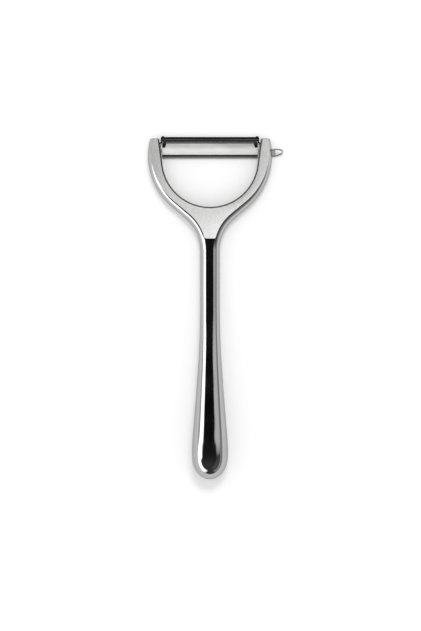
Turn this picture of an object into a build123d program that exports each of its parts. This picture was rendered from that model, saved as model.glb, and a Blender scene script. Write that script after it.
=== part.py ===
from build123d import *
from math import asin, cos, degrees, radians, sin, tan
import os

# Y-shaped vegetable peeler, lying on its back on a table at z = 0. All sizes are millimetres.
# One cast frame (round handle, round-edged fork with a flat satin face), a stamped slotted blade
# that swivels between the arm tips on two pins, and a small wire loop for taking out potato eyes.
# The origin is on the flat ground back of the fork, under the middle of the throat.
# X runs across the fork, Y towards the arm tips, Z out of the front face.
os.makedirs("parts", exist_ok=True)

# Frame: handle
neck_radius = 4.85
bulb_radius = 8.95
handle_length = 128.0
flare_length = 26.0
bulb_distance = 14.0
bulb_lift = 0.05

# Frame: fork outline, seen from the front
arm_width = 5.79
widest_past_gap_centre = 2.1
shoulder_radius = 20.8
arm_radius_excess = 9.8
flare_angle = 49.5
tip_past_pivot = 1.8
nose_reach = 12.0
tip_overhang = 4.0

# Frame: fork thickness and faces
throat_height = 4.17
face_depth = 4.45
face_radius = 600.0
face_start = 8.35
face_end_half_width = 2.95
face_corner = 1.25
face_flare_reach = 12.7
back_start = 30.0

# Frame: opening between the arms
gap_bottom_station = 7.5
gap_flare_angle = 7.8
gap_ear_clearance = 0.71
gap_edge_rounding = 0.7
gap_back_rounding = 0.6
tip_rounding = 0.5

# Swivel: pins and their holes
pivot_past_gap_centre = 8.7
pin_radius = 0.75
pin_running_fit = 0.05
pin_fixing_fit = 0.02
pin_depth = 2.99
pin_end_play = 0.4
pin_end_chamfer = 0.25
pin_flange_radius = 1.15
pin_flange_thickness = 0.3
pin_tail_length = 0.35
pivot_mouth_radius = 2.3
pivot_mouth_angle = 100.0

# Blade: stamped from strip, lengths from the pivot axis
strip_thickness = 0.6
blade_half_length = 23.8
ear_thickness = 0.7
land_edge_reach = 0.6
land_edge_height = 1.25
land_crown_height = 1.35
land_crown_reach = 3.3
land_rear_reach = 6.3
land_rear_height = 0.85
flange_depth = 1.8
slot_front_reach = 0.5
slot_end_reach = 2.65
slot_end_inset = 1.4
tongue_inset = 2.05
cutter_front_reach = 2.8
cutter_front_depth = 1.9
cutter_shoulder_height = 0.1
cutter_crest_reach = 1.45
cutter_crest_height = 1.0
cutter_inner_reach = 0.8
cutter_inner_height = 0.27
grind_start_reach = 1.35
grind_start_height = 0.82
cutting_edge_depth = 0.15
grind_wheel_radius = 735.0
ear_rear_reach = 3.3
ear_bottom_depth = 1.6
ear_rounding = 0.7
bridge_length = 2.6
bridge_front_reach = 0.5
bridge_rear_reach = 3.0
bridge_height = 0.1
bead_radius = 0.6
bead_length = 1.3
bead_reach = 2.6
bead_height = 0.15
bend_reach = 1.0
bend_drop = 0.95

# Eye remover: bent wire loop on the right arm
wire_radius = 0.45
wire_fit = 0.02
loop_before_pivot = 5.1
loop_leg_offset = 2.2
loop_leg_reach = 1.3
loop_end_reach = 4.0
loop_root_depth = 3.1
loop_root_play = 0.1
loop_tilt = 40.0
loop_swing = 7.0
web_thickness = 0.6
web_reach = 1.7

# Points of the grip outline: share of the way along and share of the radius
cap_shares = [(0.093, 0.458), (0.379, 0.849)]
grip_shares = [(0.175, 0.761), (0.357, 0.451), (0.539, 0.183), (0.720, 0.030)]
end_roundness_share = 1.0

flatness_share = 0.02
overrun = 3.0

# The frame's mid plane slopes so that the bulb and the ground back both lie on the table.
rest_slope = asin((bulb_radius + bulb_lift - throat_height) / (handle_length - bulb_distance))
mid = Plane(origin=(0, 0, throat_height), x_dir=(1, 0, 0), z_dir=(0, sin(rest_slope), cos(rest_slope)))
side = Plane(origin=mid.origin, x_dir=mid.y_dir, z_dir=mid.x_dir)
neck = Plane(origin=mid.from_local_coords((0, -flare_length, 0)), x_dir=mid.x_dir, z_dir=mid.y_dir)

# Opening: round bottom, then walls that flare towards the tips and clear the blade's ears at the pivot.
gap_flare = radians(gap_flare_angle)
pivot_wall_half_span = blade_half_length + ear_thickness + gap_ear_clearance
gap_radius = pivot_wall_half_span * cos(gap_flare) - pivot_past_gap_centre * sin(gap_flare)
gap_centre = gap_bottom_station + gap_radius
pivot_station = gap_centre + pivot_past_gap_centre
tip_station = pivot_station + tip_past_pivot
loop_station = pivot_station - loop_before_pivot
gap_arc_end = (gap_radius * cos(gap_flare), gap_centre - gap_radius * sin(gap_flare))
gap_top = tip_station + overrun
gap_top_half_width = gap_arc_end[0] + (gap_top - gap_arc_end[1]) * tan(gap_flare)

# Half-spans and places that follow from the opening
fork_half_width = pivot_wall_half_span + arm_width
grind_half_width = fork_half_width + overrun
arm_radius = gap_radius + arm_radius_excess
widest_station = gap_centre + widest_past_gap_centre
pin_end_half_span = pivot_wall_half_span + pin_depth
loop_centre_half_span = fork_half_width + loop_leg_reach
loop_root_half_span = fork_half_width - loop_root_depth
web_end_half_span = fork_half_width + web_reach

# Fork outline: straight neck, hollow shoulder arc, straight run, round arm arc, all tangent.
flare = radians(flare_angle)
arm_centre = (fork_half_width - arm_radius, widest_station)
arm_start = (arm_centre[0] + arm_radius * cos(flare), arm_centre[1] - arm_radius * sin(flare))
shoulder_station = (
    (neck_radius + shoulder_radius - arm_start[0]) * cos(flare) - shoulder_radius
) / sin(flare) + arm_start[1]
shoulder_centre = (neck_radius + shoulder_radius, shoulder_station)
shoulder_end = (
    shoulder_centre[0] - shoulder_radius * cos(flare),
    shoulder_centre[1] + shoulder_radius * sin(flare),
)
arm_sweep_past = degrees(asin((tip_station + tip_overhang - widest_station) / arm_radius))


# Grinding volume for the front face: level over the throat, then falling away along a large arc,
# and ended towards the handle by a rounded square shoulder.
with BuildPart() as face_grind:
    with BuildSketch(side):
        with BuildLine():
            level = Line((-face_start, face_depth), (0, face_depth))
            fall = JernArc(level @ 1, (1, 0), face_radius, -degrees((tip_station + overrun) / face_radius))
            rise = Line(fall @ 1, ((fall @ 1).X, bulb_radius + overrun))
            over = Line(rise @ 1, (-face_start, bulb_radius + overrun))
            Line(over @ 1, level @ 0)
        make_face()
    extrude(amount=grind_half_width, both=True)
    with BuildSketch(mid):
        with BuildLine():
            corner_y = face_corner - face_start
            flat = Line((face_corner - face_end_half_width, -face_start),
                        (face_end_half_width - face_corner, -face_start))
            right_corner = TangentArc((flat @ 1), (face_end_half_width, corner_y), tangent=(1, 0))
            right_flare = Line(right_corner @ 1, (grind_half_width, face_flare_reach))
            right_side = Line(right_flare @ 1, (grind_half_width, gap_top))
            top = Line(right_side @ 1, (-grind_half_width, gap_top))
            left_side = Line(top @ 1, (-grind_half_width, face_flare_reach))
            left_flare = Line(left_side @ 1, (-face_end_half_width, corner_y))
            TangentArc((flat @ 0), (-face_end_half_width, corner_y), tangent=(-1, 0))
        make_face()
    extrude(amount=bulb_radius + overrun, mode=Mode.INTERSECT)

# Pivot axis, and planes square to it
pivot = mid.from_local_coords((0, pivot_station, 0))


def across(half_span):
    """Plane square to the pivot axis: first direction to the tips, second direction up."""
    return Plane(origin=(half_span, pivot.Y, pivot.Z), x_dir=(0, 1, 0), z_dir=(1, 0, 0))


# Blind hole for a pivot pin in the right arm, with a wide cone mouth
mouth_slope = tan(radians(pivot_mouth_angle / 2))
with BuildPart() as pivot_bore:
    with BuildSketch(Plane(origin=pivot, x_dir=(1, 0, 0), z_dir=(0, -1, 0))):
        bore_radius = pin_radius + pin_running_fit
        mouth_end = pivot_wall_half_span + (pivot_mouth_radius - bore_radius) / mouth_slope
        with BuildLine():
            Polyline(
                (pivot_wall_half_span - overrun, 0),
                (pivot_wall_half_span - overrun, pivot_mouth_radius + overrun * mouth_slope),
                (mouth_end, bore_radius),
                (pin_end_half_span + pin_end_play, bore_radius),
                (pin_end_half_span + pin_end_play, 0),
                close=True,
            )
        make_face()
    revolve(axis=Axis(pivot, (1, 0, 0)))

# Plane of the eye remover's loop: first direction along its legs, second from leg to leg
swing = radians(loop_swing)
tilt = radians(loop_tilt)
leg_dir = mid.x_dir * cos(swing) + mid.y_dir * sin(swing)
leg_to_leg = (mid.y_dir * cos(swing) - mid.x_dir * sin(swing)) * sin(tilt) + mid.z_dir * cos(tilt)
loop_plane = Plane(
    origin=mid.from_local_coords((loop_centre_half_span, loop_station, 0)),
    x_dir=leg_dir,
    z_dir=leg_dir.cross(leg_to_leg),
)
loop_leg_length = loop_centre_half_span - loop_root_half_span

# Holes for the two legs
with BuildPart() as loop_bores:
    with BuildSketch(Plane(origin=loop_plane.origin, x_dir=leg_to_leg, z_dir=-leg_dir)):
        with Locations((-loop_leg_offset, 0), (loop_leg_offset, 0)):
            Circle(wire_radius + wire_fit)
    extrude(amount=loop_leg_length + loop_root_play)

# Cast frame
with BuildPart() as handle_frame:
    # Right half of the fork: a section with a full round nose follows the outline.
    with BuildLine(mid) as outline:
        Line((neck_radius, -flare_length), (neck_radius, shoulder_station))
        CenterArc(shoulder_centre, shoulder_radius, 180, -flare_angle)
        Line(shoulder_end, arm_start)
        CenterArc(arm_centre, arm_radius, -flare_angle, flare_angle + arm_sweep_past)
    with BuildSketch(neck):
        Circle(neck_radius)
        with Locations((-nose_reach / 2, 0)):
            Rectangle(nose_reach, 2 * neck_radius)
    sweep(path=outline.wire())
    split(bisect_by=side, keep=Keep.TOP)
    mirror(about=side)

    # Round handle, thickest in the palm
    with BuildSketch(side):
        grip_length = handle_length - flare_length
        with BuildLine():
            cap = [(a * bulb_distance - handle_length, r * bulb_radius) for a, r in cap_shares]
            grip = [
                (
                    bulb_distance - handle_length + a * (grip_length - bulb_distance),
                    neck_radius + r * (bulb_radius - neck_radius),
                )
                for a, r in grip_shares
            ]
            swell = Spline(
                (-handle_length, 0),
                *cap,
                (bulb_distance - handle_length, bulb_radius),
                *grip,
                (-flare_length, neck_radius),
                tangents=[(0, 1), (1, 0)],
                tangent_scalars=[end_roundness_share, end_roundness_share],
            )
            Polyline(swell @ 1, (-flare_length, 0), (-handle_length, 0))
        make_face()
    revolve(axis=Axis(mid.origin, mid.y_dir))

    add(face_grind.part, mode=Mode.SUBTRACT)

    # Flat ground back, which lies on the table
    with BuildSketch(Plane.XY):
        with Locations((0, (gap_top - back_start) / 2)):
            Rectangle(2 * grind_half_width, gap_top + back_start)
    extrude(amount=-overrun, mode=Mode.SUBTRACT)

    # Square arm tips
    with BuildSketch(mid):
        with Locations((0, tip_station + overrun)):
            Rectangle(2 * grind_half_width, 2 * overrun)
    extrude(amount=bulb_radius, both=True, mode=Mode.SUBTRACT)

    # Opening between the arms
    with BuildSketch(mid):
        with BuildLine():
            bottom = CenterArc((0, gap_centre), gap_radius, 180 + gap_flare_angle, 180 - 2 * gap_flare_angle)
            Polyline(bottom @ 1, (gap_top_half_width, gap_top), (-gap_top_half_width, gap_top), bottom @ 0)
        make_face()
    extrude(amount=bulb_radius, both=True, mode=Mode.SUBTRACT)

    # Rounded front and back edges of the opening
    gap_middle = mid.from_local_coords((0, gap_centre, 0))
    for towards, rounding in ((1, gap_edge_rounding), (-1, gap_back_rounding)):
        walls = (
            handle_frame.faces()
            .filter_by(lambda f: abs(f.normal_at().dot(mid.z_dir)) < flatness_share)
            .filter_by(lambda f: (f.center() - gap_middle).length < gap_radius + overrun)
        )
        rims = ShapeList(e for f in walls for e in f.edges()).filter_by(
            lambda e: mid.to_local_coords(e.center()).Z * towards > gap_edge_rounding
        )
        fillet(rims, rounding)

    # Softened edges of the arm tips
    tips = handle_frame.faces().sort_by(Axis(mid.origin, mid.y_dir))[-2:]
    fillet(tips.edges(), tip_rounding)

    add(pivot_bore.part, mode=Mode.SUBTRACT)
    add(pivot_bore.part.mirror(Plane.YZ), mode=Mode.SUBTRACT)
    add(loop_bores.part, mode=Mode.SUBTRACT)

handle_frame.part.label = "handle_frame"
export_step(handle_frame.part, "parts/handle_frame.step")

# Swivel blade, one stamping
with BuildPart() as swivel_blade:
    # Narrow cutting strip: front face, crest and inner slope
    with BuildSketch(across(0)):
        with BuildLine():
            front = FilletPolyline(
                (cutter_front_reach, -cutter_front_depth),
                (cutter_front_reach, cutter_shoulder_height),
                (cutter_crest_reach, cutter_crest_height),
                (-cutter_inner_reach, cutter_inner_height),
                radius=ear_rounding,
            )
            offset(front, amount=strip_thickness, side=Side.LEFT)
        make_face()
    extrude(amount=blade_half_length, both=True)

    # Its cutting edge, hollow ground by a large wheel so that the bevel is widest in the middle
    with BuildSketch(across(0)):
        with BuildLine():
            bevel = Line((-cutter_inner_reach, -cutting_edge_depth), (grind_start_reach, grind_start_height))
            ahead = Line(bevel @ 1, bevel @ 1 + (bevel % 1) * overrun)
            behind = Line(bevel @ 0, bevel @ 0 - (bevel % 0) * overrun)
            Polyline(ahead @ 1, ((behind @ 1).X, (ahead @ 1).Y), behind @ 1)
        make_face()
    grind_axis = Axis(pivot - Vector(0, grind_wheel_radius, 0), (0, 0, 1))
    revolve(axis=grind_axis, mode=Mode.SUBTRACT)

    # Broad guide land with its down-turned rear flange
    with BuildSketch(across(0)):
        with BuildLine():
            crown = ThreePointArc(
                (-land_edge_reach, land_edge_height),
                (-land_crown_reach, land_crown_height),
                (-land_rear_reach, land_rear_height),
            )
            bend_end = (-land_rear_reach - bend_reach, land_rear_height - bend_drop)
            bend = TangentArc(crown @ 1, bend_end, tangent=crown % 1)
            flange = PolarLine(
                bend @ 1,
                length=(flange_depth + bend_end[1]) / abs((bend % 1).Y),
                direction=bend % 1,
            )
            offset(Curve() + [crown, bend, flange], amount=strip_thickness, side=Side.LEFT)
        make_face()
    extrude(amount=blade_half_length, both=True)

    # Slot ends, so that the land's front stands free as a tongue
    for hand in (1, -1):
        with BuildSketch(Plane.XY.offset(pivot.Z + cutter_inner_height)):
            with BuildLine():
                Polyline(
                    (hand * (blade_half_length - tongue_inset), pivot.Y - slot_front_reach),
                    (hand * (blade_half_length - slot_end_inset), pivot.Y - slot_end_reach),
                    (hand * (blade_half_length + overrun), pivot.Y - slot_end_reach),
                    (hand * (blade_half_length + overrun), pivot.Y - slot_front_reach),
                    close=True,
                )
            make_face()
        extrude(amount=overrun, mode=Mode.SUBTRACT)

    # Lowered bridges under the slot ends, which join the cutter to the ears
    for hand in (1, -1):
        with BuildSketch(across(hand * (blade_half_length - bridge_length))):
            with Locations(((bridge_front_reach - bridge_rear_reach) / 2, bridge_height - strip_thickness / 2)):
                Rectangle(bridge_front_reach + bridge_rear_reach, strip_thickness)
        extrude(amount=hand * bridge_length)

    # Ears folded down at both ends, with the rolled corners at the front
    for hand in (1, -1):
        with BuildSketch(across(hand * blade_half_length)):
            Polygon(
                (cutter_front_reach, -ear_bottom_depth),
                (cutter_front_reach, cutter_shoulder_height),
                (cutter_crest_reach, cutter_crest_height),
                (-ear_rear_reach, land_edge_height),
                (-ear_rear_reach, -cutting_edge_depth),
                (-land_edge_reach, -ear_bottom_depth),
                align=None,
            )
            fillet(vertices().group_by(Axis.Y)[0] + vertices().group_by(Axis.X)[-1], ear_rounding)
        extrude(amount=hand * ear_thickness)
        with BuildSketch(across(hand * (blade_half_length + ear_thickness / 2))):
            with Locations((bead_reach, bead_height)):
                Circle(bead_radius)
        extrude(amount=-hand * bead_length)
        with BuildSketch(across(hand * (blade_half_length - pin_tail_length))):
            Circle(pin_radius + pin_fixing_fit)
        extrude(amount=hand * (pin_tail_length + ear_thickness), mode=Mode.SUBTRACT)

swivel_blade.part.label = "swivel_blade"
export_step(swivel_blade.part, "parts/swivel_blade.step")

# Pivot pins: a tail fixed in the ear, a thrust flange, and a shank that turns in the arm
for name, hand in (("pivot_pin_left", -1), ("pivot_pin_right", 1)):
    ear_face = blade_half_length + ear_thickness
    with BuildPart() as pin:
        with BuildSketch(across(hand * (blade_half_length - pin_tail_length))):
            Circle(pin_radius)
        extrude(amount=hand * (pin_end_half_span - blade_half_length + pin_tail_length))
        chamfer(pin.edges().sort_by(Axis(pivot, (hand, 0, 0)))[-1], pin_end_chamfer)
        with BuildSketch(across(hand * ear_face)):
            Circle(pin_flange_radius)
        extrude(amount=hand * pin_flange_thickness)
    pin.part.label = name
    export_step(pin.part, "parts/" + name + ".step")

# Eye remover: wire loop with a web across its root
with BuildPart() as eye_remover:
    with BuildLine(loop_plane) as wire:
        Line((-loop_leg_length, loop_leg_offset), (0, loop_leg_offset))
        EllipticalCenterArc((0, 0), loop_end_reach, loop_leg_offset, start_angle=90, arc_size=-180)
        Line((0, -loop_leg_offset), (-loop_leg_length, -loop_leg_offset))
    leg_root = loop_plane.from_local_coords((-loop_leg_length, loop_leg_offset, 0))
    with BuildSketch(Plane(origin=leg_root, z_dir=leg_dir)):
        Circle(wire_radius)
    sweep(path=wire.wire())
    web_start = fork_half_width + wire_fit - loop_centre_half_span
    web_end = web_end_half_span - loop_centre_half_span
    with BuildSketch(loop_plane):
        with Locations(((web_start + web_end) / 2, 0)):
            Rectangle(web_end - web_start, 2 * loop_leg_offset)
    extrude(amount=web_thickness / 2, both=True)

eye_remover.part.label = "eye_remover"
export_step(eye_remover.part, "parts/eye_remover.step")
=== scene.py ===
import math

import bpy
import numpy as np
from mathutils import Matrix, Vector
from mathutils.kdtree import KDTree


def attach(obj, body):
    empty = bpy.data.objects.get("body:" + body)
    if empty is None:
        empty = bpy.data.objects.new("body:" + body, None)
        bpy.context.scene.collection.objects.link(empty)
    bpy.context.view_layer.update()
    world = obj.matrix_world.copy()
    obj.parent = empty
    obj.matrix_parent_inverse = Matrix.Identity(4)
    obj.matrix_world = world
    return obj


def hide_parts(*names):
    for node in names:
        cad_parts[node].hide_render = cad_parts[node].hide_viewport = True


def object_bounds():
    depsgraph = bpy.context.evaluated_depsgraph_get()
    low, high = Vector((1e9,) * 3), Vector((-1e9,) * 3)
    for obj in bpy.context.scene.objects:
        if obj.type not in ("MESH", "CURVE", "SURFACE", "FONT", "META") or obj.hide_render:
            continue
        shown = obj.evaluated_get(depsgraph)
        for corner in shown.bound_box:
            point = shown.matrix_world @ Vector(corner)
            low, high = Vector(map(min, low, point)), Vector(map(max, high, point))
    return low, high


bl_info = {
    "name": "Vegetable peeler studio",
    "version": (1, 0, 0),
    "blender": (4, 5, 0),
    "location": "3D View > Sidebar > Peeler",
    "description": "Finishes the parts of a Y-shaped vegetable peeler and lights it on a white table",
    "category": "Object",
}

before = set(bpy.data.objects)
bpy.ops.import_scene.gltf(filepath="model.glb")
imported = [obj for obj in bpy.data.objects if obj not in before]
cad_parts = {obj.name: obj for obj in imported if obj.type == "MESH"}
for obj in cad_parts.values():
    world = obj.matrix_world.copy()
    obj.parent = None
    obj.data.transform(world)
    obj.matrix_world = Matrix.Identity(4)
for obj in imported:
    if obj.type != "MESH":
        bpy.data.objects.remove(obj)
cad_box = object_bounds()

# The frame's mid plane leans back by this angle, so that both bulb and fork touch the table.
REST_SLOPE = math.asin((0.00895 + 0.00005 - 0.00417) / (0.128 - 0.014))
THROAT_HEIGHT = 0.00417

# Middle of the blade's swivel axis
PIVOT = (0.0, 0.0399601, 0.0024754)

# Opening between the arms: a round bottom, then walls that flare by this angle
GAP_RADIUS = 0.023796
GAP_CENTRE = 0.031296
GAP_FLARE = math.radians(7.8)

# The eye remover's loop on the right arm: its place across and along the frame's mid plane,
# its swing in that plane and its tilt out of it
LOOP_ACROSS = 0.0323
LOOP_STATION = 0.034896
LOOP_SWING = math.radians(7.0)
LOOP_TILT = math.radians(40.0)

# The handle's normals are fitted again nearer than this, each through so many nearest points.
HANDLE_END = -0.0095
FIT_POINTS = 20
FIT_MARGIN = 0.0015
SAME_SIDE = 0.80
SMOOTH_AGREEMENT = 0.94

# Share of the wire's path that each leg takes
LEG_SHARE = 0.25

# Camera, key light and the table's small gap under the peeler
VIEW_CENTRE = (0.00025, -0.0464)
KEY_PLACE = (0.12, 0.62, 1.3)
KEY_TARGET = (0.0, -0.04, 0.0)
KEY_SIZE = (0.5, 0.3)
TABLE_GAP = 0.00002

# Brightness of the room that polished metal shows
ROOM_DARK = 0.005
LEFT_PANEL = 3.0
LEFT_WALL = 0.62
RIGHT_PANEL = 0.85
RIGHT_WALL = 0.36
FAR_PANEL = 1.9


class Scalar:
    """A number socket of a node tree, or a plain number, with arithmetic that adds Math nodes."""

    def __init__(self, tree, value):
        self.tree = tree
        self.value = value.value if isinstance(value, Scalar) else value

    def _math(self, operation, *others, clamp=False):
        values = [self.value] + [o.value if isinstance(o, Scalar) else o for o in others]
        node = self.tree.node("ShaderNodeMath", {"operation": operation, "use_clamp": clamp}, values)
        return Scalar(self.tree, node.outputs[0])

    def __add__(self, other):
        return self._math("ADD", other)

    def __radd__(self, other):
        return Scalar(self.tree, other)._math("ADD", self)

    def __sub__(self, other):
        return self._math("SUBTRACT", other)

    def __rsub__(self, other):
        return Scalar(self.tree, other)._math("SUBTRACT", self)

    def __mul__(self, other):
        return self._math("MULTIPLY", other)

    def __rmul__(self, other):
        return Scalar(self.tree, other)._math("MULTIPLY", self)

    def __truediv__(self, other):
        return self._math("DIVIDE", other)

    def absolute(self):
        return self._math("ABSOLUTE")

    def sine(self):
        return self._math("SINE")

    def cosine(self):
        return self._math("COSINE")

    def root(self):
        return self._math("SQRT")

    def arc_cosine(self):
        return self._math("ARCCOSINE")

    def larger(self, other):
        return self._math("MAXIMUM", other)

    def smaller(self, other):
        return self._math("MINIMUM", other)

    def ramp(self, start, end, low=0.0, high=1.0):
        """low before start, high after end, and a smooth change between them."""
        node = self.tree.node(
            "ShaderNodeMapRange",
            {"interpolation_type": "SMOOTHSTEP", "clamp": True},
            {"Value": self, "From Min": start, "From Max": end, "To Min": low, "To Max": high},
        )
        return Scalar(self.tree, node.outputs["Result"])


class Tree:
    """A node tree with one method that adds any node."""

    def __init__(self, group):
        self.nodes = group.nodes
        self.links = group.links
        self.nodes.clear()

    def node(self, kind, settings=None, values=None):
        """Adds a node: settings are its properties, values go to its inputs by name or by order."""
        made = self.nodes.new(kind)
        for key, value in (settings or {}).items():
            setattr(made, key, value)
        pairs = values.items() if isinstance(values, dict) else enumerate(values or [])
        for key, value in pairs:
            if isinstance(value, Scalar):
                value = value.value
            if isinstance(value, bpy.types.NodeSocket):
                self.links.new(value, made.inputs[key])
            else:
                made.inputs[key].default_value = value
        return made

    def number(self, socket):
        return Scalar(self, socket)

    def scaled(self, vector, factor):
        """A vector times a number."""
        return self.node("ShaderNodeVectorMath", {"operation": "SCALE"},
                         {0: vector, "Scale": factor}).outputs[0]

    def sum(self, *vectors):
        total = vectors[0]
        for vector in vectors[1:]:
            total = self.node("ShaderNodeVectorMath", {"operation": "ADD"}, [total, vector]).outputs[0]
        return total

    def parts(self, vector):
        """The three numbers of a vector socket."""
        split = self.node("ShaderNodeSeparateXYZ", values=[vector])
        return [Scalar(self, split.outputs[i]) for i in range(3)]


class Shader(Tree):
    """A material's or world's node tree."""

    def __init__(self, owner):
        owner.use_nodes = True
        super().__init__(owner.node_tree)

    def place(self):
        """Object coordinates as a vector socket."""
        return self.node("ShaderNodeTexCoord").outputs["Object"]

    def stretched(self, vector, scale):
        """A vector multiplied along each direction."""
        made = self.node("ShaderNodeVectorMath", {"operation": "MULTIPLY"}, [vector, scale])
        return made.outputs[0]

    def noise(self, vector, scale, detail=2.0, roughness=0.5):
        made = self.node(
            "ShaderNodeTexNoise",
            {"noise_dimensions": "3D"},
            {"Vector": vector, "Scale": scale, "Detail": detail, "Roughness": roughness},
        )
        return Scalar(self, made.outputs["Fac"])

    def blend(self, share, first, second):
        """first where share is 0 and second where it is 1, as colours."""
        made = self.node("ShaderNodeMix", {"data_type": "RGBA"})
        for index, value in ((0, share), (6, first), (7, second)):
            if isinstance(value, Scalar):
                value = value.value
            if isinstance(value, bpy.types.NodeSocket):
                self.links.new(value, made.inputs[index])
            else:
                made.inputs[index].default_value = value
        return made.outputs[2]

    def bump(self, height, distance, strength=1.0):
        made = self.node(
            "ShaderNodeBump", values={"Strength": strength, "Distance": distance, "Height": height}
        )
        return made.outputs["Normal"]

    def surface(self, shader):
        out = self.node("ShaderNodeOutputMaterial")
        self.links.new(shader.outputs[0], out.inputs["Surface"])


def grey(level):
    """A neutral colour of this linear level."""
    return (level, level, level, 1.0)


def cover(piece, material):
    """Gives a piece one material."""
    piece.data.materials.clear()
    piece.data.materials.append(material)


def metal(shader, colour, roughness, normal=None, metallic=1.0, edge=0.6):
    """A metal surface; edge is its tone where it is seen at a grazing angle."""
    values = {"Base Color": colour, "Metallic": metallic, "Roughness": roughness}
    values["Specular Tint"] = grey(edge)
    if normal is not None:
        values["Normal"] = normal
    return shader.node("ShaderNodeBsdfPrincipled", values=values)


def fitted_normals(points, normals, chosen):
    """Normals of a curved surface, at the chosen points from quadrics through the nearest points."""
    tree = KDTree(len(points))
    for index, point in enumerate(points):
        tree.insert(point, index)
    tree.balance()
    fitted = normals.copy()
    for index in chosen:
        normal = normals[index]
        near = [i for _, i, _ in tree.find_n(points[index], FIT_POINTS)
                if normals[i] @ normal > SAME_SIDE]
        first = np.cross(normal, (1.0, 0.0, 0.0) if abs(normal[0]) < 0.9 else (0.0, 1.0, 0.0))
        first /= np.linalg.norm(first)
        second = np.cross(normal, first)
        steps = points[near] - points[index]
        steps /= np.abs(steps).max() + 1e-9
        x, y, z = steps @ first, steps @ second, steps @ normal
        terms = np.stack([x * x, x * y, y * y, x, y], axis=1)
        damped = terms.T @ terms + np.eye(5) * 0.002
        slopes = np.linalg.solve(damped, terms.T @ z)[3:]
        exact = normal - slopes[0] * first - slopes[1] * second
        fitted[index] = exact / np.linalg.norm(exact)
    return fitted


def polished_copy(name, node, body, end):
    """A merged copy of a CAD node, whose smooth surface nearer than end shades as its true curve."""
    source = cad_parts[node].data
    corners = np.empty(len(source.loops), dtype=np.int32)
    source.loops.foreach_get("vertex_index", corners)
    places = np.empty(len(source.vertices) * 3, dtype=np.float32)
    source.vertices.foreach_get("co", places)
    shading = np.empty(len(source.loops) * 3, dtype=np.float32)
    source.corner_normals.foreach_get("vector", shading)
    shading = shading.reshape(-1, 3).astype(float)
    places = np.round(places.reshape(-1, 3).astype(float), 7)
    points, index = np.unique(places, axis=0, return_inverse=True)
    corners = index.ravel()[corners]

    # A point is on smooth surface when the normals of its corners agree.
    normals = np.zeros_like(points)
    np.add.at(normals, corners, shading)
    normals /= np.linalg.norm(normals, axis=1, keepdims=True)
    agreement = np.ones(len(points))
    np.minimum.at(agreement, corners, np.einsum("ij,ij->i", normals[corners], shading))
    smooth = agreement > SMOOTH_AGREEMENT
    known = np.flatnonzero(smooth & (points[:, 1] < end + FIT_MARGIN))
    chosen = np.flatnonzero(points[known, 1] < end)
    normals[known] = fitted_normals(points[known], normals[known], chosen)
    refined = smooth & (points[:, 1] < end)
    shading[refined[corners]] = normals[corners][refined[corners]]

    faces = corners.reshape(-1, 3)
    whole = np.all(faces != np.roll(faces, -1, axis=1), axis=1)
    mesh = bpy.data.meshes.new(name)
    mesh.from_pydata(points.tolist(), [], faces[whole].tolist())
    mesh.shade_smooth()
    mesh.normals_split_custom_set(shading.reshape(-1, 3, 3)[whole].reshape(-1, 3).tolist())
    piece = bpy.data.objects.new(name, mesh)
    bpy.context.scene.collection.objects.link(piece)
    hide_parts(node)
    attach(piece, body)
    return piece


def grow(name, build, sizes, material, body, node):
    """Makes a piece from a geometry tree with named inputs, in place of a node of the CAD model."""
    group = bpy.data.node_groups.new(name, "GeometryNodeTree")
    tree = Tree(group)
    sizes = dict(sizes, Material=material)
    keys = {}
    for label, value in sizes.items():
        kind = "Material" if value is material else "Vector" if isinstance(value, tuple) else "Float"
        socket = group.interface.new_socket(
            name=label, in_out="INPUT", socket_type="NodeSocket" + kind)
        keys[label] = socket.identifier
    group.interface.new_socket(name="Geometry", in_out="OUTPUT", socket_type="NodeSocketGeometry")
    inputs = tree.node("NodeGroupInput").outputs
    shape = build(tree, {label: tree.number(inputs[label]) for label in sizes})
    whole = tree.node("GeometryNodeRealizeInstances", values=[shape]).outputs[0]
    whole = tree.node("GeometryNodeSetMaterial", values={
        "Geometry": whole, "Material": inputs["Material"]})
    tree.node("NodeGroupOutput", values=[whole.outputs[0]])

    maker = bpy.data.objects.new(name + "_maker", bpy.data.meshes.new(name + "_maker"))
    bpy.context.scene.collection.objects.link(maker)
    modifier = maker.modifiers.new(name, "NODES")
    modifier.node_group = group
    for label, value in sizes.items():
        modifier[keys[label]] = value
    evaluated = maker.evaluated_get(bpy.context.evaluated_depsgraph_get())
    mesh = bpy.data.meshes.new_from_object(evaluated)
    mesh.name = name
    bpy.data.objects.remove(maker)
    piece = bpy.data.objects.new(name, mesh)
    bpy.context.scene.collection.objects.link(piece)
    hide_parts(node)
    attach(piece, body)
    return piece


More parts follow.
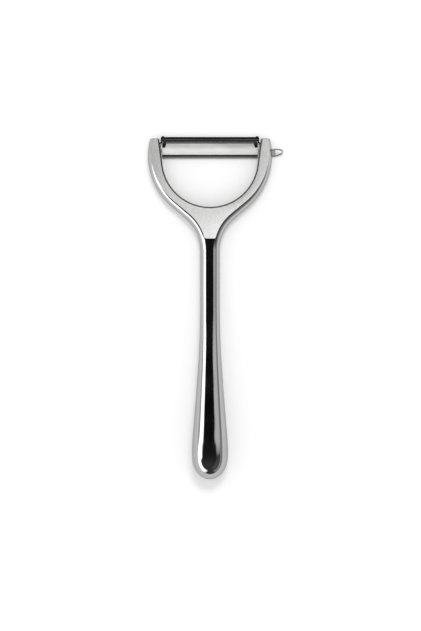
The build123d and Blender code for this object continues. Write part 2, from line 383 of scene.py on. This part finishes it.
def build_wire_loop(tree, size):
    """A wire that runs out along one leg, round a half ellipse and back, and a web across its root."""
    def laid(u, v, w):
        """A point from its places along the legs, from leg to leg and square to the loop."""
        return tree.sum(
            size["Centre"].value, tree.scaled(size["Leg direction"].value, u),
            tree.scaled(size["Leg to leg"].value, v), tree.scaled(size["Normal"].value, w))

    along = tree.number(tree.node("GeometryNodeSplineParameter").outputs["Factor"])
    turn = ((along - LEG_SHARE) / (1.0 - 2.0 * LEG_SHARE)).larger(0.0).smaller(1.0) * math.pi
    on_leg = (1.0 - along / LEG_SHARE).larger(0.0) + (
        (along - (1.0 - LEG_SHARE)) / LEG_SHARE).larger(0.0)
    path = tree.node("GeometryNodeCurvePrimitiveLine", values={"End": (1.0, 0.0, 0.0)}).outputs[0]
    path = tree.node("GeometryNodeResampleCurve", values={"Curve": path, "Count": 129}).outputs[0]
    path = tree.node("GeometryNodeSetPosition", values={"Geometry": path, "Position": laid(
        turn.sine() * size["End reach"] - on_leg * size["Leg length"],
        turn.cosine() * size["Half width"], 0.0)}).outputs[0]
    ring = tree.node("GeometryNodeCurvePrimitiveCircle", values={
        "Resolution": 32, "Radius": size["Wire radius"]}).outputs[0]
    wire = tree.node("GeometryNodeCurveToMesh", values={
        "Curve": path, "Profile Curve": ring, "Fill Caps": True}).outputs[0]
    wire = tree.node("GeometryNodeSetShadeSmooth", values={
        "Geometry": wire, "Shade Smooth": True}).outputs[0]

    block = tree.node("GeometryNodeMeshCube", values={"Size": (1.0, 1.0, 1.0)}).outputs["Mesh"]
    x, y, z = tree.parts(tree.node("GeometryNodeInputPosition").outputs[0])
    middle = (size["Web start"] + size["Web end"]) / 2.0
    web = tree.node("GeometryNodeSetPosition", values={"Geometry": block, "Position": laid(
        middle + x * (size["Web end"] - size["Web start"]),
        y * size["Half width"] * 2.0, z * size["Web thickness"])}).outputs[0]
    web = tree.node("GeometryNodeSetShadeSmooth", values={
        "Geometry": web, "Shade Smooth": False}).outputs[0]
    join = tree.node("GeometryNodeJoinGeometry")
    for part in (web, wire):
        tree.links.new(part, join.inputs[0])
    return join.outputs[0]


def mid_plane_place(shader, place):
    """Across, along and height of a point above the frame's sloping mid plane, in metres."""
    across, along, up = shader.parts(place)
    rise = up - THROAT_HEIGHT
    station = along * math.cos(REST_SLOPE) - rise * math.sin(REST_SLOPE)
    height = along * math.sin(REST_SLOPE) + rise * math.cos(REST_SLOPE)
    return across, station, height


def gap_distance(across, station):
    """How far a point is outside the opening between the arms, in plan."""
    from_centre = station - GAP_CENTRE
    round_part = (across * across + from_centre * from_centre).root() - GAP_RADIUS
    side = across.absolute() * math.cos(GAP_FLARE) - from_centre * math.sin(GAP_FLARE) - GAP_RADIUS
    past_arc = (from_centre + GAP_RADIUS * math.sin(GAP_FLARE)).ramp(-0.0001, 0.0001)
    return round_part + past_arc * (side - round_part)


class FrameFinish(bpy.types.PropertyGroup):
    """Sizes and tones of the cast frame's finish."""

    face_depth: bpy.props.FloatProperty(
        name="Face depth", description="Height of the ground face over the mid plane",
        default=0.00445, unit="LENGTH", precision=5)
    face_radius: bpy.props.FloatProperty(
        name="Face radius", description="Radius of the arc that the face follows over the arms",
        default=0.600, unit="LENGTH")
    face_start: bpy.props.FloatProperty(
        name="Face start", description="Distance of the face's lower end from the throat",
        default=0.00835, unit="LENGTH", precision=5)
    chrome: bpy.props.FloatVectorProperty(
        name="Chrome", description="Tone of the bright plating", subtype="COLOR", size=4,
        default=(0.46, 0.46, 0.464, 1.0))
    satin: bpy.props.FloatVectorProperty(
        name="Satin face", description="Tone of the ground face", subtype="COLOR", size=4,
        default=(0.92, 0.92, 0.91, 1.0))
    # Painted shade: a dark tone on the opening's wall and rims, for the shadow they reflect.
    rim_shade_tone: bpy.props.FloatVectorProperty(
        name="Wall and rim shade", description="Tone of the opening's wall and rims", subtype="COLOR", size=4,
        default=(0.09, 0.09, 0.09, 1.0))
    rim_width: bpy.props.FloatProperty(
        name="Rim width", description="Width of the rounded rim beside the opening",
        default=0.00072, unit="LENGTH", precision=5)
    satin_scatter: bpy.props.FloatProperty(
        name="Satin scatter", description="Share of light that the ground face scatters all round",
        default=0.68, min=0.0, max=1.0, subtype="FACTOR")
    satin_roughness: bpy.props.FloatProperty(
        name="Satin roughness", description="How softly the ground face reflects",
        default=0.52, min=0.0, max=1.0, subtype="FACTOR")


class BladeFinish(bpy.types.PropertyGroup):
    """Tones of the stamped blade and its pins."""

    steel: bpy.props.FloatVectorProperty(
        name="Blade steel", description="Tone of the brushed strip", subtype="COLOR", size=4,
        default=(0.50, 0.50, 0.50, 1.0))
    land: bpy.props.FloatVectorProperty(
        name="Brushed land", description="Tone of the broad brushed land", subtype="COLOR", size=4,
        default=(0.90, 0.90, 0.89, 1.0))
    land_scatter: bpy.props.FloatProperty(
        name="Land scatter", description="Share of light that the brushed land scatters all round",
        default=0.85, min=0.0, max=1.0, subtype="FACTOR")
    pin: bpy.props.FloatVectorProperty(
        name="Pin steel", description="Tone of the turned pins", subtype="COLOR", size=4,
        default=(0.66, 0.66, 0.66, 1.0))


class WireLoop(bpy.types.PropertyGroup):
    """Sizes and tone of the eye remover."""

    wire_radius: bpy.props.FloatProperty(
        name="Wire radius", description="Radius of the wire",
        default=0.00045, unit="LENGTH", precision=5)
    half_width: bpy.props.FloatProperty(
        name="Half width", description="Half the distance between the loop's two legs",
        default=0.0022, unit="LENGTH", precision=5)
    end_reach: bpy.props.FloatProperty(
        name="End reach", description="Length of the loop's rounded end",
        default=0.0040, unit="LENGTH", precision=5)
    leg_length: bpy.props.FloatProperty(
        name="Leg length", description="Length of each straight leg, mostly inside the arm",
        default=0.0044, unit="LENGTH", precision=5)
    web_start: bpy.props.FloatProperty(
        name="Web start", description="Inner end of the web, along the legs",
        default=-0.00128, unit="LENGTH", precision=5)
    web_end: bpy.props.FloatProperty(
        name="Web end", description="Outer end of the web, along the legs",
        default=0.0004, unit="LENGTH", precision=5)
    web_thickness: bpy.props.FloatProperty(
        name="Web thickness", description="Thickness of the web",
        default=0.0006, unit="LENGTH", precision=5)
    tone: bpy.props.FloatVectorProperty(
        name="Wire steel", description="Tone of the drawn wire", subtype="COLOR", size=4,
        default=(0.70, 0.70, 0.70, 1.0))
    root_shade: bpy.props.FloatProperty(
        name="Root shade", description="How much of its tone the wire keeps beside the arm",
        default=0.8, min=0.0, max=1.0, subtype="FACTOR")


class StudioSetup(bpy.types.PropertyGroup):
    """The table, the lights and the camera."""

    camera_height: bpy.props.FloatProperty(
        name="Camera height", description="Height of the camera over the table",
        default=1.6, unit="LENGTH")
    view_height: bpy.props.FloatProperty(
        name="View height", description="Length of table that the picture shows from top to bottom",
        default=0.3155, unit="LENGTH")
    dome: bpy.props.FloatProperty(
        name="Dome", description="Even light from the room on dull surfaces", default=0.78, min=0.0)
    key: bpy.props.FloatProperty(
        name="Key light", description="Radiance of the key light's panel", default=12.5, min=0.0)
    table_tone: bpy.props.FloatProperty(
        name="Table tone", description="Share of light that the white table scatters",
        default=0.95, min=0.0, max=1.0, subtype="FACTOR")
    table_glow: bpy.props.FloatProperty(
        name="Table glow", description="Small lift that takes the seen table to full white",
        default=0.10, min=0.0, max=1.0)
    table_size: bpy.props.FloatProperty(
        name="Table size", description="Side of the square table", default=6.0, unit="LENGTH")


class PEELER_OT_frame(bpy.types.Operator):
    """Finish the cast frame: bright plating with a satin ground face"""

    bl_idname = "peeler.frame"
    bl_label = "Finish the frame"

    def execute(self, context):
        finish = context.scene.peeler_frame
        material = bpy.data.materials.new("frame_chrome")
        shader = Shader(material)
        place = shader.place()
        across, station, height = mid_plane_place(shader, place)

        # The ground face: level over the throat, then following its large arc
        past = station.larger(0.0)
        fall = past * past / (2.0 * finish.face_radius)
        above = height - (finish.face_depth - fall)
        level = above.ramp(-0.00003, -0.00001) * above.ramp(0.00001, 0.00003, 1.0, 0.0)
        on_face = level * station.ramp(-finish.face_start - 0.00004, -finish.face_start + 0.00002)

        # The opening's wall and rims: duller than the plating outside, and painted dark as shade for
        # the shadow they reflect.
        bottom = gap_distance(across, station)
        in_gap = bottom.ramp(finish.rim_width - 0.00005, finish.rim_width + 0.00005, 1.0, 0.0)
        on_face = on_face * (1.0 - in_gap)

        # Fine grinding lines run across the face, polishing haze covers the rest.
        grinding = shader.noise(shader.stretched(place, (0.25, 1.0, 1.0)), 9000.0, 2.0, 0.6)
        mottle = shader.noise(shader.stretched(place, (0.6, 1.0, 1.0)), 1400.0, 3.0, 0.6)
        haze = shader.noise(place, 60.0, 3.0, 0.5)
        polished = haze.ramp(0.35, 0.75, 0.06, 0.12)
        satin = grinding.ramp(0.3, 0.7, finish.satin_roughness - 0.05, finish.satin_roughness + 0.05)
        roughness = polished + on_face * (satin - polished) + in_gap * 0.30

        # Painted light on the ground face: brighter over the throat and towards the right of each arm.
        painted_side_light = (across / 0.012).larger(-1.0).smaller(1.0) * (bottom - 0.0030) / 0.0030
        painted_right_light = across.ramp(0.006, 0.012) * station.ramp(0.014, 0.027, 1.0, 0.0)
        light = station.ramp(-0.002, 0.034, 0.26, 0.0) + station.ramp(-0.008, 0.006, 0.18, 0.0)
        light = light + painted_side_light.larger(-1.0).smaller(1.0) * (0.05 + painted_right_light * 0.24)
        # Painted light: the right arm lighter than the left; the mottle below is random tone.
        light = light + across.ramp(-0.03, 0.03, -0.05, 0.08)
        light = light + mottle.ramp(0.3, 0.7, -0.05, 0.05)
        ground = shader.scaled(tuple(finish.satin[:3]), 0.61 + light)
        colour = shader.blend(on_face, tuple(finish.chrome), ground)
        colour = shader.blend(in_gap, colour, tuple(finish.rim_shade_tone))
        normal = shader.bump(grinding * on_face, 0.00001, 0.35)
        metallic = 1.0 - on_face * finish.satin_scatter
        shader.surface(metal(shader, colour, roughness, normal, metallic))
        piece = polished_copy("frame_polished", "handle_frame", "frame", HANDLE_END)
        cover(piece, material)
        return {"FINISHED"}


class PEELER_OT_blade(bpy.types.Operator):
    """Finish the swivel blade: steel strip brushed along its length"""

    bl_idname = "peeler.blade"
    bl_label = "Finish the blade"

    def execute(self, context):
        finish = context.scene.peeler_blade
        material = bpy.data.materials.new("blade_steel")
        shader = Shader(material)
        place = shader.place()
        across, along, up = shader.parts(place)
        behind = PIVOT[1] - along
        above = up - PIVOT[2]
        brushing = shader.noise(shader.stretched(place, (0.02, 1.0, 1.0)), 6000.0, 3.0, 0.6)
        cloud = shader.noise(shader.stretched(place, (0.3, 1.0, 1.0)), 250.0, 2.0, 0.5)

        # The broad land is brushed dull and the cutting strip stays bright; the folded front and rear
        # edges are painted dark as shade.
        on_land = behind.ramp(0.00052, 0.00058) * above.ramp(0.0006, 0.0008) * behind.ramp(
            0.0060, 0.0063, 1.0, 0.0)
        # Painted light on the land: darker at the front, lightest behind the middle, darker at the rear
        # and towards the right; the cloud is random tone.
        cloud_and_painted_light = behind.ramp(0.0010, 0.0042) * 0.42 + behind.ramp(0.0046, 0.0058, 0.0, -0.10)
        cloud_and_painted_light = cloud_and_painted_light + cloud.ramp(0.3, 0.7) * 0.12 + across.ramp(0.002, 0.020, 0.0, -0.12)
        brushed = shader.scaled(tuple(finish.land[:3]), 0.52 + cloud_and_painted_light)
        # Painted shade: the front strip and the rear flange turn near black, standing in for the dark
        # they reflect.
        edges = behind.ramp(0.0063, 0.0067, 0.0, 0.7).larger(behind.ramp(-0.0016, -0.0010, 0.92, 0.0))
        bright = shader.blend(edges, tuple(finish.steel), grey(0.06))
        tone = shader.blend(on_land, bright, brushed)
        roughness = 0.10 + brushing * 0.06 + on_land * (0.28 + brushing * 0.12)
        normal = shader.bump(brushing, 0.00001, 0.3)
        metallic = 1.0 - on_land * finish.land_scatter
        shader.surface(metal(shader, tone, roughness, normal, metallic))
        cover(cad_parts["swivel_blade"], material)
        return {"FINISHED"}


class PEELER_OT_pins(bpy.types.Operator):
    """Finish the two pivot pins"""

    bl_idname = "peeler.pins"
    bl_label = "Finish the pins"

    def execute(self, context):
        finish = context.scene.peeler_blade
        material = bpy.data.materials.new("pin_steel")
        shader = Shader(material)
        place = shader.place()
        turning = shader.noise(shader.stretched(place, (1.0, 0.1, 0.1)), 12000.0, 1.0, 0.5)
        shader.surface(metal(shader, tuple(finish.pin), turning.ramp(0.3, 0.7, 0.12, 0.22)))
        for side in ("left", "right"):
            cover(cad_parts["pivot_pin_" + side], material)
        return {"FINISHED"}


class PEELER_OT_eye_remover(bpy.types.Operator):
    """Finish the wire loop that takes out potato eyes"""

    bl_idname = "peeler.eye_remover"
    bl_label = "Finish the eye remover"

    def execute(self, context):
        loop = context.scene.peeler_loop
        material = bpy.data.materials.new("wire_steel")
        shader = Shader(material)
        place = shader.place()
        drawn = shader.noise(place, 3000.0, 2.0, 0.5)
        root = shader.parts(place)[0].ramp(0.0325, 0.0329, 1.0, 0.0)
        darker = tuple(loop.root_shade * c for c in loop.tone[:3]) + (1.0,)
        tone = shader.blend(root, tuple(loop.tone), darker)
        shader.surface(metal(shader, tone, drawn.ramp(0.3, 0.7, 0.20, 0.30) + root * 0.25))

        # The loop's plane is swung along the arm and tilted out of the frame's mid plane.
        mid_y = Vector((0.0, math.cos(REST_SLOPE), -math.sin(REST_SLOPE)))
        mid_z = Vector((0.0, math.sin(REST_SLOPE), math.cos(REST_SLOPE)))
        right = Vector((1.0, 0.0, 0.0))
        leg = right * math.cos(LOOP_SWING) + mid_y * math.sin(LOOP_SWING)
        flat = mid_y * math.cos(LOOP_SWING) - right * math.sin(LOOP_SWING)
        cross = flat * math.sin(LOOP_TILT) + mid_z * math.cos(LOOP_TILT)
        centre = Vector((LOOP_ACROSS, 0.0, THROAT_HEIGHT)) + mid_y * LOOP_STATION
        piece = grow("eye_remover_wire", build_wire_loop, {
            "Centre": tuple(centre), "Leg direction": tuple(leg), "Leg to leg": tuple(cross),
            "Normal": tuple(leg.cross(cross)), "Leg length": loop.leg_length,
            "Half width": loop.half_width, "End reach": loop.end_reach,
            "Wire radius": loop.wire_radius, "Web start": loop.web_start,
            "Web end": loop.web_end, "Web thickness": loop.web_thickness,
        }, material, "frame", "eye_remover")
        return {"FINISHED"}


def area_lamp(name, place, target, width, height, strength):
    """A soft panel of this radiance that faces its target."""
    lamp = bpy.data.lights.new(name, "AREA")
    lamp.shape = "RECTANGLE"
    lamp.size = width
    lamp.size_y = height
    lamp.energy = strength * width * height * math.pi
    panel = bpy.data.objects.new(name, lamp)
    bpy.context.scene.collection.objects.link(panel)
    panel.location = place
    panel.rotation_euler = (Vector(target) - Vector(place)).to_track_quat("-Z", "Y").to_euler()
    return panel


def below(down, edge):
    """1 under a soft edge at this angle from straight up, 0 over it."""
    return (down - edge).ramp(-0.04, 0.06)


def over(down, edge):
    """1 over a soft edge at this angle from straight up, 0 under it."""
    return (down - edge).ramp(-0.04, 0.06, 1.0, 0.0)


def panel_levels(right, far, down):
    """Brightness of the room's panels towards a direction, whose angle from straight up is down."""
    deg = math.radians
    near = 0.0 - far
    sides = far.ramp(0.28, 0.42, 1.0, 0.0)
    is_left = right.ramp(-0.30, -0.22, 1.0, 0.0) * sides
    is_right = right.ramp(0.22, 0.30) * sides
    end_wall = far.ramp(-0.95, -0.80)

    # Left: one bright panel whose edges drop towards the handle's end, and a pale wall under it
    top_left = far.ramp(0.10, 0.17, deg(52), deg(35))
    top_left = top_left.larger(near.ramp(-0.04, 0.25, deg(46), deg(63)))
    foot_left = near.ramp(-0.16, 0.0, deg(72), deg(84))
    bright = below(down, top_left) * over(down, foot_left)
    left = is_left * end_wall * (LEFT_PANEL * bright + LEFT_WALL * below(down, foot_left))

    # Right: a dim panel, then a darker wall
    top_right = far.ramp(0.10, 0.16, deg(42), deg(31)) + far.ramp(0.18, 0.24, 0.0, deg(13))
    foot_right = deg(66)
    dim = below(down, top_right) * (down - foot_right).ramp(0.0, 0.10, 1.0, 0.0)
    wall = (down - foot_right).ramp(0.0, 0.10)
    fade = near.ramp(-0.14, 0.06, 1.0, 0.08)
    right_side = is_right * end_wall * (RIGHT_PANEL * dim * fade + RIGHT_WALL * wall)

    # Far side: a broad panel with soft edges, mostly for dull faces
    far_panel = (down - deg(22)).ramp(0.0, 0.18) * (down - deg(50)).ramp(0.0, 0.18, 1.0, 0.0)
    far_panel = FAR_PANEL * far_panel * far.ramp(0.24, 0.46)

    # White backdrop, low behind everything
    backdrop = (down - deg(86)).ramp(0.0, 0.03)
    return (left + right_side).larger(far_panel).larger(backdrop)


class PEELER_OT_studio(bpy.types.Operator):
    """Lay the white table, hang the lights and set up the camera"""

    bl_idname = "peeler.studio"
    bl_label = "Set up the studio"

    def execute(self, context):
        setup = context.scene.peeler_studio
        scene = context.scene

        # Table
        half = setup.table_size / 2
        mesh = bpy.data.meshes.new("table")
        corners = [(-half, -half, 0.0), (half, -half, 0.0), (half, half, 0.0), (-half, half, 0.0)]
        mesh.from_pydata(corners, [], [(0, 1, 2, 3)])
        table = bpy.data.objects.new("table", mesh)
        table.location = (0.0, 0.0, cad_box[0][2] - TABLE_GAP)
        scene.collection.objects.link(table)
        material = bpy.data.materials.new("table_white")
        shader = Shader(material)
        path = shader.node("ShaderNodeLightPath")
        camera_ray, glossy_ray, transmission_ray = [
            shader.number(path.outputs["Is " + kind + " Ray"])
            for kind in ("Camera", "Glossy", "Transmission")]
        seen = camera_ray + glossy_ray + transmission_ray
        diffuse = shader.node("ShaderNodeBsdfDiffuse", values={"Color": grey(setup.table_tone)})
        glow = shader.node("ShaderNodeEmission", values={
            "Color": grey(1.0), "Strength": setup.table_glow * seen.smaller(1.0)})
        shader.surface(shader.node(
            "ShaderNodeAddShader", values=[diffuse.outputs[0], glow.outputs[0]]))
        mesh.materials.append(material)

        # Room: white behind the object, an even soft dome on dull surfaces, and for the metal a
        # dark ceiling with a bright panel on the left, a dim one on the right and one far side
        world = bpy.data.worlds.new("studio_room")
        scene.world = world
        room = Shader(world)
        path = room.node("ShaderNodeLightPath")
        mirrored = room.number(path.outputs["Is Glossy Ray"])
        dull = room.number(path.outputs["Is Diffuse Ray"])
        aim = room.node("ShaderNodeTexCoord").outputs["Generated"]
        right, far, up = room.parts(aim)
        down = up.arc_cosine()
        ceiling = ROOM_DARK + far.ramp(-0.5, 0.2, 0.05, 0.0)
        metal_room = ceiling + panel_levels(right, far, down)
        plain = 1.0 - dull * (1.0 - setup.dome)
        strength = plain + mirrored * (metal_room - plain)
        back = room.node("ShaderNodeBackground", values={"Color": grey(1.0), "Strength": strength})
        out = room.node("ShaderNodeOutputWorld")
        room.links.new(back.outputs[0], out.inputs["Surface"])

        # Key light from the far side, which throws the short shadow below the bulb
        key = area_lamp("key_far", KEY_PLACE, KEY_TARGET, *KEY_SIZE, setup.key)
        key.visible_glossy = False

        # Camera straight above, centred where the photograph is
        camera = bpy.data.cameras.new("camera")
        camera.sensor_fit = "VERTICAL"
        camera.sensor_height = 24.0
        camera.lens = camera.sensor_height * setup.camera_height / setup.view_height
        camera.clip_end = 20.0
        eye = bpy.data.objects.new("camera", camera)
        eye.location = (*VIEW_CENTRE, setup.camera_height)
        scene.collection.objects.link(eye)
        scene.camera = eye
        scene.view_settings.view_transform = "Standard"
        return {"FINISHED"}


class PEELER_PT_panel(bpy.types.Panel):
    """Lists the finishing steps of the peeler"""

    bl_idname = "PEELER_PT_panel"
    bl_label = "Peeler"
    bl_space_type = "VIEW_3D"
    bl_region_type = "UI"
    bl_category = "Peeler"

    def draw(self, context):
        for group, _ in GROUPS:
            settings = getattr(context.scene, group)
            box = self.layout.box()
            for name in settings.bl_rna.properties.keys():
                if name not in ("rna_type", "name"):
                    box.prop(settings, name)
        for operator in OPERATORS:
            self.layout.operator(operator.bl_idname)


OPERATORS = (
    PEELER_OT_frame,
    PEELER_OT_blade,
    PEELER_OT_pins,
    PEELER_OT_eye_remover,
    PEELER_OT_studio,
)
GROUPS = (
    ("peeler_frame", FrameFinish),
    ("peeler_blade", BladeFinish),
    ("peeler_loop", WireLoop),
    ("peeler_studio", StudioSetup),
)


def register():
    for name, group in GROUPS:
        bpy.utils.register_class(group)
        setattr(bpy.types.Scene, name, bpy.props.PointerProperty(type=group))
    for operator in OPERATORS:
        bpy.utils.register_class(operator)
    bpy.utils.register_class(PEELER_PT_panel)


def unregister():
    bpy.utils.unregister_class(PEELER_PT_panel)
    for operator in reversed(OPERATORS):
        bpy.utils.unregister_class(operator)
    for name, group in reversed(GROUPS):
        delattr(bpy.types.Scene, name)
        bpy.utils.unregister_class(group)


def main():
    register()
    bpy.ops.peeler.frame()
    bpy.ops.peeler.blade()
    bpy.ops.peeler.pins()
    bpy.ops.peeler.eye_remover()
    bpy.ops.peeler.studio()


if __name__ == "__main__":
    main()
